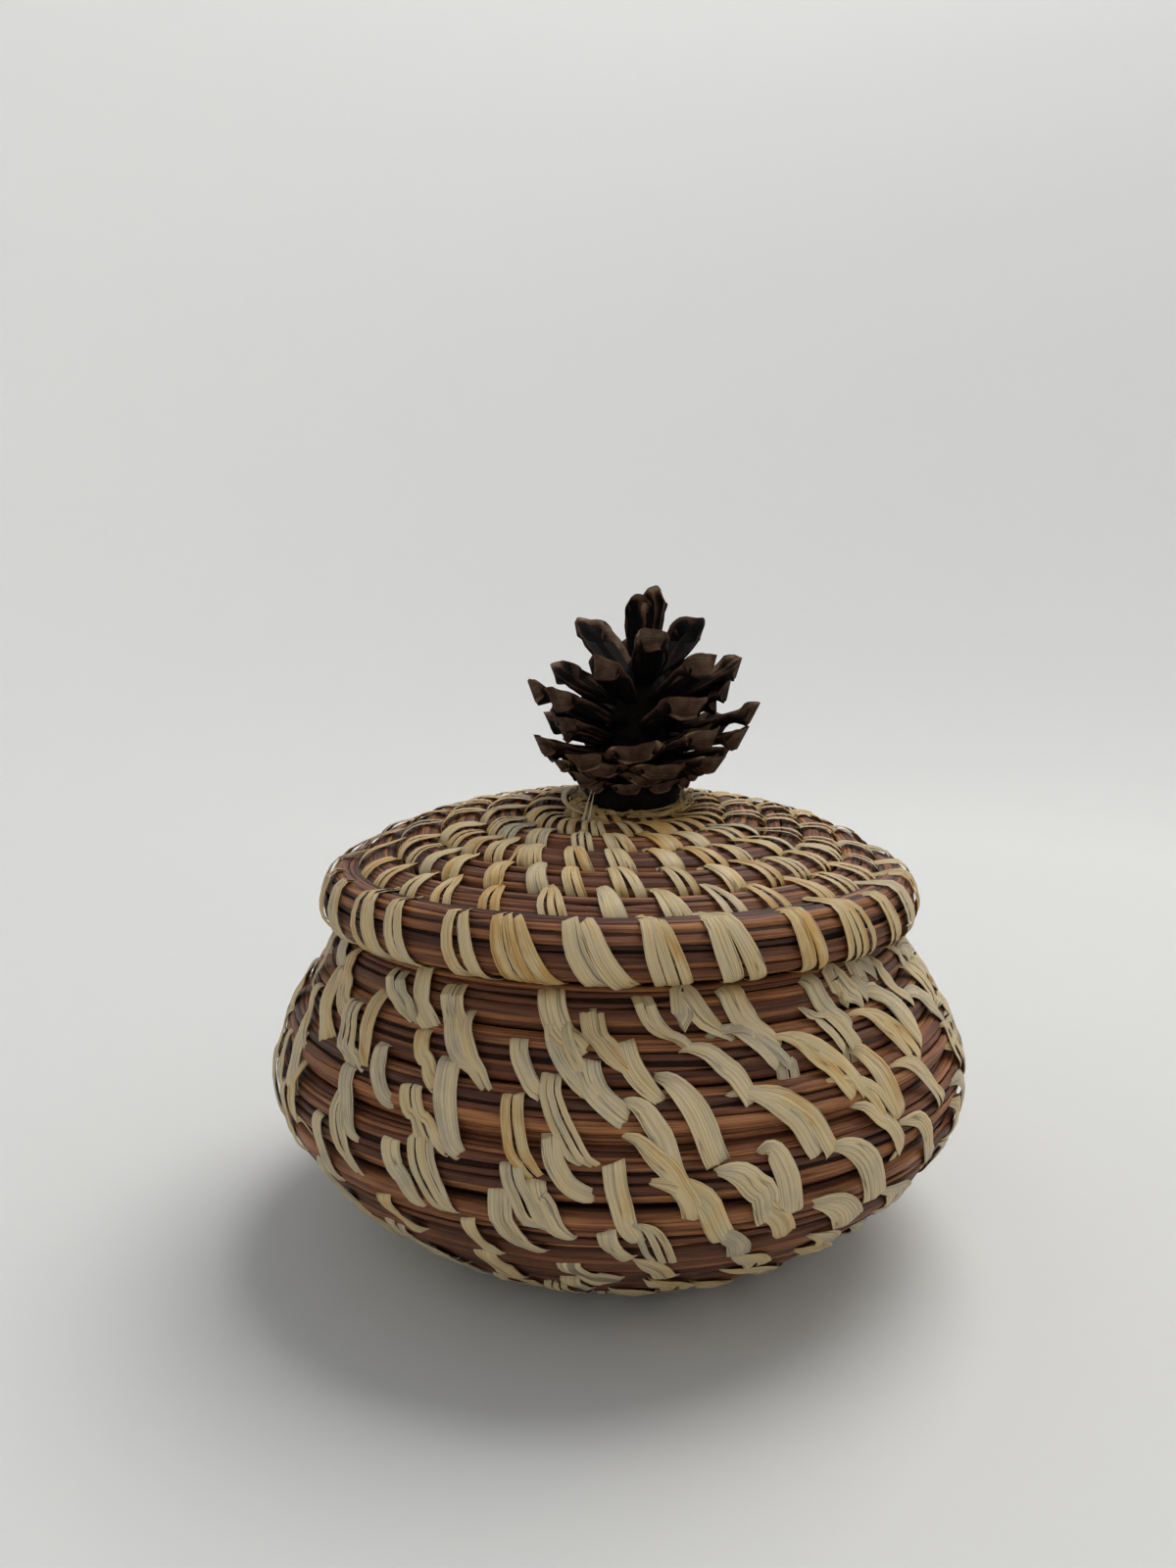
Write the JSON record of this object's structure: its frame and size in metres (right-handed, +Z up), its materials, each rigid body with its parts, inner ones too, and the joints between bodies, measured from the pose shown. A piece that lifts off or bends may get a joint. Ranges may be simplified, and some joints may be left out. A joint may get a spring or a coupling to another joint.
{
  "type": "lidded pine needle basket",
  "caption": "Squat round coiled basket of pine needle bundles sewn with raffia, with a domed lift-off lid whose knob is a small pine cone.",
  "frame": {"origin": "middle of the flat underside of the base, on the basket's axis", "axes": "+Z up along the basket's axis and through the knob, -Y towards the side that the picture shows"},
  "size_m": [0.1174, 0.1178, 0.1084],
  "materials": {
    "pine_needles": "dry cured needles, satin",
    "raffia": "natural dry fibre",
    "pine_cone": "weathered woody scales, matte"
  },
  "bodies": {
    "basket": {"body_coil": "pine_needles", "wall_row_1_raffia": "raffia", "wall_row_2_raffia": "raffia", "wall_row_3_raffia": "raffia", "wall_row_4_raffia": "raffia", "wall_row_5_raffia": "raffia", "wall_row_6_raffia": "raffia", "wall_row_7_raffia": "raffia", "mouth_row_raffia": "raffia"},
    "lid": {"lid_coil": "pine_needles", "lid_row_1_raffia": "raffia", "lid_row_2_raffia": "raffia", "lid_row_3_raffia": "raffia", "lid_row_4_raffia": "raffia", "lid_rim_raffia": "raffia", "lid_lip_coil": "pine_needles", "pine_cone": "pine_cone", "cone_tie": "raffia"}
  },
  "joints": [
    {"name": "lid_lift", "type": "slide", "parent": "basket", "child": "lid", "axis": [0, 0, 1], "range_m": [0, 0.08]}
  ]
}
